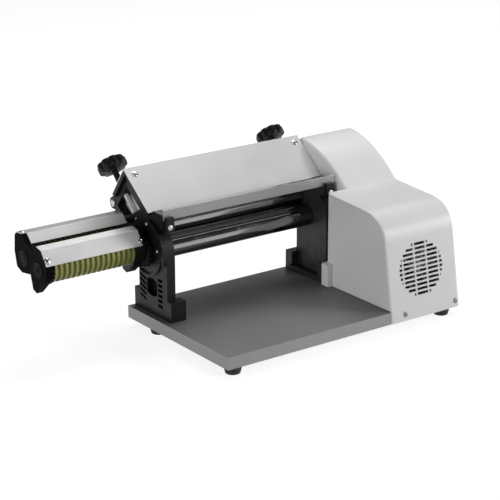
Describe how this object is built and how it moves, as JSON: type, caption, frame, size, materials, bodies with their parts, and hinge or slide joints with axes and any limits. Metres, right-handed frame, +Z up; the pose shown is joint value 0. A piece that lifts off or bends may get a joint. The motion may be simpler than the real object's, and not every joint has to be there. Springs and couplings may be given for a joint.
{
  "type": "electric pasta maker",
  "caption": "Motor-driven dough sheeter with two polished rollers under a folded cover, gap-adjusting knobs and a side-hung pair of grooved cutting rollers.",
  "frame": {"origin": "below the middle of the bounding box, on the surface the feet stand on", "axes": "+X along the rollers towards the motor housing, +Y to the rear, +Z up"},
  "size_m": [0.8408, 0.4762, 0.3481],
  "materials": {
    "base": "satin grey paint",
    "housing": "satin light grey paint",
    "cover": "satin light grey paint",
    "lip": "satin",
    "moulding": "satin black",
    "knob": "semi-gloss black",
    "roller": "polished",
    "screw": "bright",
    "steel": "machined",
    "bearing": "sintered bronze",
    "cutter_roller": "satin olive",
    "cutter_cover": "satin grey",
    "foot": "matte black",
    "belt": "matte black",
    "motor": "satin dark grey",
    "switch": "semi-gloss black"
  },
  "bodies": {
    "frame": {"base_tray": "base", "foot_front_left": "foot", "foot_front_right": "foot", "foot_rear_left": "foot", "foot_rear_right": "foot", "left_upright": "moulding", "right_upright": "moulding", "lip_clamp_left": "moulding", "lip_clamp_right": "moulding", "cutter_plate_left": "moulding", "cutter_plate_right": "moulding", "lower_bush_left": "bearing", "lower_bush_right": "bearing", "rear_tie_rod": "steel", "roller_cover": "cover", "front_lip": "lip", "motor_housing": "housing", "motor_body": "motor", "gearbox": "motor", "motor_cradle": "base", "gearbox_foot": "base", "drive_belt": "belt", "cutter_cover_front": "cutter_cover", "cutter_cover_rear": "cutter_cover", "switch_body": "switch", "power_inlet": "switch", "cover_screw_left": "screw", "cover_screw_right": "screw", "lip_screw_left": "screw", "lip_screw_right": "screw", "cutter_screw_front_left": "screw", "cutter_screw_front_right": "screw", "cutter_screw_rear_left": "screw", "cutter_screw_rear_right": "screw", "skirt_screw_left": "screw", "skirt_screw_right": "screw"},
    "lower_roller": {"lower_roller": "roller", "lower_roller_gear": "steel", "driven_pulley": "steel", "output_gear": "steel"},
    "carriage": {"bearing_block_left": "bearing", "bearing_block_right": "bearing"},
    "upper_roller": {"upper_roller": "roller", "upper_roller_gear": "steel"},
    "adjuster_left": {"adjusting_screw_left": "steel", "adjusting_knob_left": "knob"},
    "adjuster_right": {"adjusting_screw_right": "steel", "adjusting_knob_right": "knob"},
    "cutter_front": {"cutter_roller_front": "cutter_roller", "cutter_gear_front": "steel"},
    "cutter_rear": {"cutter_roller_rear": "cutter_roller", "cutter_gear_rear": "steel", "cutter_input_gear": "steel"},
    "output_drive": {"output_shaft": "steel", "drive_pulley": "steel"},
    "motor_rotor": {"motor_shaft": "steel", "cooling_fan": "moulding"},
    "rocker": {"switch_rocker": "switch"}
  },
  "joints": [
    {"name": "lower_roller_spin", "type": "hinge", "parent": "frame", "child": "lower_roller", "pos_m": [0.0426, 0.06581, 0.1758], "axis": [1, 0, 0], "continuous": true},
    {"name": "gap_slide", "type": "slide", "parent": "frame", "child": "carriage", "axis": [0, 0.7071, 0.7071], "range_m": [-0.001, 0.005]},
    {"name": "upper_roller_spin", "type": "hinge", "parent": "carriage", "child": "upper_roller", "pos_m": [0.0426, 0.10223, 0.21222], "axis": [1, 0, 0], "continuous": true},
    {"name": "left_knob_turn", "type": "hinge", "parent": "carriage", "child": "adjuster_left", "pos_m": [-0.1614, 0.10223, 0.21222], "axis": [0, 0.7071, 0.7071], "range_deg": [-60.5, 300.5]},
    {"name": "right_knob_turn", "type": "hinge", "parent": "carriage", "child": "adjuster_right", "pos_m": [0.2466, 0.10223, 0.21222], "axis": [0, 0.7071, 0.7071], "range_deg": [-60.5, 300.5]},
    {"name": "rear_cutter_spin", "type": "hinge", "parent": "frame", "child": "cutter_rear", "pos_m": [-0.3054, 0.12981, 0.19077], "axis": [1, 0, 0], "continuous": true},
    {"name": "front_cutter_spin", "type": "hinge", "parent": "frame", "child": "cutter_front", "pos_m": [-0.3054, 0.07381, 0.1819], "axis": [1, 0, 0], "continuous": true},
    {"name": "output_spin", "type": "hinge", "parent": "frame", "child": "output_drive", "pos_m": [0.2946, -0.08219, 0.1173], "axis": [1, 0, 0], "continuous": true},
    {"name": "motor_spin", "type": "hinge", "parent": "frame", "child": "motor_rotor", "pos_m": [0.3166, -0.15419, 0.1173], "axis": [0, 1, 0], "continuous": true},
    {"name": "switch_tilt", "type": "hinge", "parent": "frame", "child": "rocker", "pos_m": [0.4109, -0.12419, 0.1663], "axis": [0, 1, 0], "range_deg": [-7, 7]}
  ],
  "couplings": [
    {"joint": "upper_roller_spin", "follows": "lower_roller_spin", "ratio": -1},
    {"joint": "rear_cutter_spin", "follows": "lower_roller_spin", "ratio": -0.8},
    {"joint": "front_cutter_spin", "follows": "lower_roller_spin", "ratio": 0.8},
    {"joint": "output_spin", "follows": "lower_roller_spin", "ratio": 2.7778},
    {"joint": "motor_spin", "follows": "lower_roller_spin", "ratio": 11.111},
    {"joint": "left_knob_turn", "follows": "gap_slide", "rad_per_m": 1047.2},
    {"joint": "right_knob_turn", "follows": "gap_slide", "rad_per_m": 1047.2}
  ]
}
